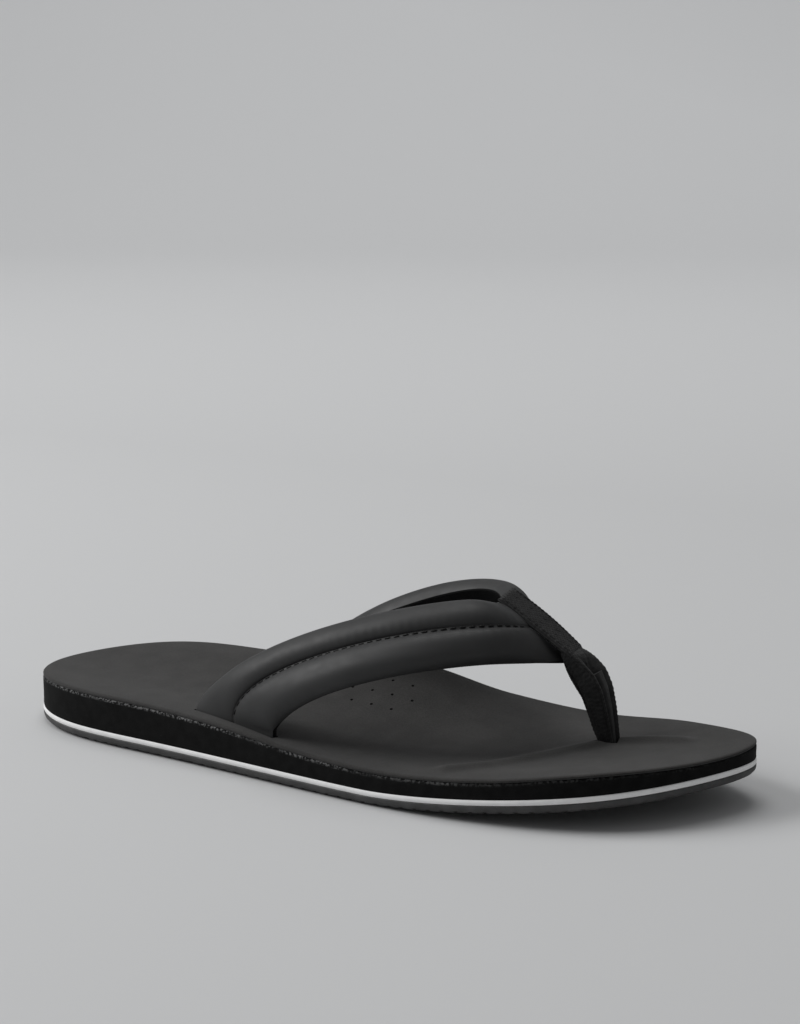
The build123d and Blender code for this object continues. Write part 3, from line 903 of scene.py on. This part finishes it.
def tape_section(breadth, depth, count):
    """Points round a flat tape's section, with rounded selvedges: across and up."""
    turns = np.linspace(0, 2 * math.pi, count, endpoint=False)
    flat = breadth / 2 - depth / 2
    across = np.clip(np.cos(turns) * breadth / 2 * 1.12, -breadth / 2, breadth / 2)
    ends = np.clip((np.abs(across) - flat) / (depth / 2), 0, 1)
    rise = np.sign(np.sin(turns)) * depth / 2 * np.sqrt(1 - ends**2)
    return across, rise


def bulge_share(share):
    """How much of the tab's bulge there is, that share of the way from its rear end."""
    return (1 - share**3) * (0.8 + 0.2 * math.sin(math.pi * share))


def tab_lift(run, across):
    """How far the padding lifts the tab, most on the inner side."""
    return tab_bulge * bulge_share(run / tab_run) * (0.5 + 0.5 * across / (tab_width / 2))


def make_tab():
    """Woven tape over the line where the straps meet, with a channel for each edge row of stitches."""
    count = 260
    across, rise = tape_section(tab_width, tab_thickness, count)
    from_row = np.abs(across) - tab_width / 2 + tab_stitch_inset
    edge_channel = 0.4 * MM * np.exp(-((from_row / (0.35 * MM)) ** 2))
    rows = []
    for run in np.linspace(0, tab_run, 190):
        line = tab_rear + tab_along * run - tab_up * tab_thickness / 2
        centre = v_point(*line)
        normal = v_direction * tab_up[0] + up * tab_up[1]
        lift = tab_lift(run, across)
        fade = np.clip(1 - (np.abs(across) / (tab_width / 2)) ** 12, 0, 1)
        relief = (weave(across + 20 * MM, run) - edge_channel) * fade * np.sign(rise)
        end = 1 - 0.5 * (smooth((MM - run) / MM) + smooth((run - tab_run + MM) / MM))
        height = (rise + relief) * end
        rows.append(centre + v_side * across[:, None] + normal * (height + lift)[:, None])
    tab = skin("tab_tape", rows)
    crisp(tab, 75)
    dress(tab, "vamp_tab", "webbing")
    make_tab_stitches()


def make_tab_stitches():
    """Edge rows and crossed rows that hold the tab down."""
    along3 = v_direction * tab_along[0] + up * tab_along[1]
    rise3 = v_direction * tab_up[0] + up * tab_up[1]
    count = int((tab_run - 2 * tab_stitch_inset) / stitch_pitch)
    stitches = []

    def on_tab(run, across):
        lift = tab_lift(run, across) - 0.05 * MM
        return v_point(*(tab_rear + tab_along * run)) + v_side * across + rise3 * lift

    for edge in (-1, 1):
        for k in range(count):
            run = tab_stitch_inset + (k + 0.5) * stitch_pitch
            place = on_tab(run, edge * (tab_width / 2 - tab_stitch_inset))
            stitches.append(stitch(place, along3, rise3, radius=tab_thread_radius))
        for k in range(cross_stitch_count):
            run = tab_stitch_inset + (k + 0.5) / cross_stitch_count * (tab_run - 2 * tab_stitch_inset)
            lean = edge * cross_stitch_turn
            way = along3 * math.cos(lean) + v_side * math.sin(lean)
            place = on_tab(run, edge * cross_stitch_offset)
            stitches.append(stitch(place, way, rise3, radius=tab_thread_radius))
    dress(thread_piece("tab_stitches", stitches), "vamp_tab_stitching", "thread")


post_sections = np.array([
    [-15.6, 31.9, 2.0, 12.0], [-13.6, 30.0, 5.0, 12.4], [-11.8, 28.2, 7.6, 12.4], [-9.6, 25.9, 9.8, 12.0],
    [-6.6, 22.4, 11.2, 11.4], [-4.2, 18.0, 10.6, 10.2], [-2.3, 11.5, 9.6, 9.0], [-0.9, 5.5, 8.6, 7.8],
    [0.6, 0.0, 6.8, 6.6], [0.6, -5.0, 6.8, 6.6],
]) * MM  # ahead of and above the post's base, depth, breadth
front_turn, outer_turn, rear_turn = math.pi / 2, math.pi, 1.5 * math.pi
pleats = [
    (front_turn + 0.30, front_turn + 0.34, 0.62, 0.92), (outer_turn + 0.30, rear_turn - 0.35, 0.14, 0.26),
    (outer_turn - 0.30, outer_turn - 0.10, 0.08, 0.07), (rear_turn + 0.2, rear_turn, 0.14, 0.2),
    (2 * math.pi - 0.25, rear_turn + 0.7, 0.10, 0.15),
]  # turn round the post at its top and foot, spread, and depth as a share of the reach
post_squareness = 0.45  # the section's power: 1 is an ellipse, less is squarer
post_weave_radius = 5.1 * MM  # turns the angle round the post into a place across the tape


def post_values(steps):
    """Evenly spaced ahead, height, depth and breadth down the post, with the corners rounded off."""
    runs = np.concatenate([[0], np.cumsum(np.linalg.norm(np.diff(post_sections[:, :2], axis=0), axis=1))])
    fine = np.linspace(0, runs[-1], steps)
    values = np.array([np.interp(fine, runs, post_sections[:, k]) for k in range(4)])
    reach = 9
    window = np.hanning(2 * reach + 3)[1:-1]
    padded = np.pad(values, ((0, 0), (reach, reach)), mode="reflect", reflect_type="odd")
    values = np.array([np.convolve(line, window / window.sum(), mode="valid") for line in padded]).T
    return fine, values


def make_post():
    """Tape folded lengthwise into the toe post, open like a gutter at the front."""
    count, steps = 300, 200
    turns = np.linspace(0, 2 * math.pi, count, endpoint=False)
    fine, values = post_values(steps)
    rows = []
    for number, (ahead, height, depth, breadth) in enumerate(values):
        before, after = values[max(number - 2, 0), :2], values[min(number + 2, steps - 1), :2]
        heading = (after - before) / np.linalg.norm(after - before)
        forward = v_direction * -heading[1] + up * heading[0]
        fold = smooth((fine[number] - 2.5 * MM) / (9 * MM))
        wide = np.sign(np.cos(turns)) * np.abs(np.cos(turns)) ** post_squareness * breadth / 2
        deep = np.sign(np.sin(turns)) * np.abs(np.sin(turns)) ** post_squareness * depth / 2
        share = fine[number] / fine[-1]
        sink = np.zeros(count)
        for top_turn, foot_turn, spread, amount in pleats:
            turn = top_turn + (foot_turn - top_turn) * share
            gap = (turns - turn + math.pi) % (2 * math.pi) - math.pi
            sink = np.maximum(sink, amount * np.exp(-(np.abs(gap / spread) ** 2.6)))
        reach = np.hypot(wide, deep)
        yarns = weave(turns * post_weave_radius, fine[number]) * 0.8 / reach * min(1, depth / (4 * MM))
        grow = 1 - fold * sink + yarns
        centre = v_point(ahead, height)
        rows.append(centre + v_side * (wide * grow)[:, None] + forward * (deep * grow)[:, None])
    post = skin("post_tape", rows)
    crisp(post, 75)
    dress(post, "toe_post_webbing", "webbing")


# Stage


def make_stage():
    """Pale floor that sweeps up into a backdrop, soft lights and the camera."""
    azimuth, elevation = math.radians(32.03), math.radians(11.086)
    back = np.array([-math.sin(azimuth), math.cos(azimuth), 0])
    side = np.array([math.cos(azimuth), math.sin(azimuth), 0])
    flat_end, sweep, wall = 2.0, 1.6, 4.0
    profile = [(-3.0, 0.0), (flat_end, 0.0)]
    profile += [(flat_end + sweep * math.sin(a), sweep * (1 - math.cos(a)))
                for a in np.linspace(0, math.pi / 2, 32)[1:]]
    profile.append((flat_end + sweep, wall))
    verts = [back * run + side * reach + up * rise for run, rise in profile for reach in (-5, 5)]
    faces = [(2 * k, 2 * k + 1, 2 * k + 3, 2 * k + 2) for k in range(len(profile) - 1)]
    floor = piece("backdrop", verts, faces)
    for face in floor.data.polygons:
        face.use_smooth = True
    paper = Surface("backdrop_paper", grey(0.72), 0.95, specular=0.1)
    distance = paper.node("ShaderNodeSeparateXYZ")
    paper.link(paper.place(), distance.inputs[0])
    reach_back = paper.node("ShaderNodeMapRange", From_Min=-0.2, From_Max=2.6)
    paper.link(distance.outputs["Y"], reach_back.inputs["Value"])
    # painted light: the paper's colour grows paler further back and up the wall, where the lamps light it
    # less, so the painted tone evens out the backdrop's brightness
    painted_light_tones = [(0.0, 0.565), (0.25, 0.58), (0.56, 0.75), (0.96, 0.93)]  # paler away from the lights
    stops = [(place, grey(tone, -0.008)) for place, tone in painted_light_tones]
    paper.colour(paper.ramp(reach_back.outputs["Result"], *stops))
    floor.data.materials.append(paper.material)

    world = bpy.data.worlds.new("studio")
    world.use_nodes = True
    world.node_tree.nodes["Background"].inputs["Color"].default_value = (0.985, 0.99, 1.0, 1)
    world.node_tree.nodes["Background"].inputs["Strength"].default_value = 0.22
    bpy.context.scene.world = world

    def softbox(name, run, reach, rise, size, power):
        light = bpy.data.lights.new(name, "AREA")
        light.shape, light.size, light.energy = "SQUARE", size, power
        lamp = bpy.data.objects.new(name, light)
        lamp.location = Vector(back * run + side * reach + up * rise)
        aim = Vector((0, 0, 0.03)) - lamp.location
        lamp.rotation_mode = "QUATERNION"
        lamp.rotation_quaternion = aim.to_track_quat("-Z", "Y")
        bpy.context.scene.collection.objects.link(lamp)

    softbox("key_light", 0.2, -1.9, 1.5, 1.3, 38)
    softbox("top_light", 0.4, -0.2, 2.4, 1.3, 12)
    softbox("wall_light", 1.2, 0.0, 3.4, 2.0, 16)

    camera = bpy.data.cameras.new("camera")
    camera.sensor_width, camera.lens = 36.0, 88.99  # mm
    camera.clip_start, camera.clip_end = 0.01, 50
    eye = bpy.data.objects.new("camera", camera)
    aim, distance_back = Vector((0, 0.0206, 0.0871)), 0.922
    toward = Vector((back * math.cos(elevation) - up * math.sin(elevation)))
    eye.location = aim - toward * distance_back
    eye.rotation_mode = "QUATERNION"
    eye.rotation_quaternion = toward.to_track_quat("-Z", "Y")
    bpy.context.scene.collection.objects.link(eye)
    bpy.context.scene.camera = eye
    bpy.context.scene.view_settings.view_transform = "Standard"


make_sole()
for strap_side in outward:
    make_strap(strap_side)
    dress_cad(f"{strap_side}_strap_anchor", "anchor_plastic")
make_tab()
make_post()
dress_cad("toe_post_core", "cord")
dress_cad("toe_post_anchor", "anchor_plastic")
make_stage()
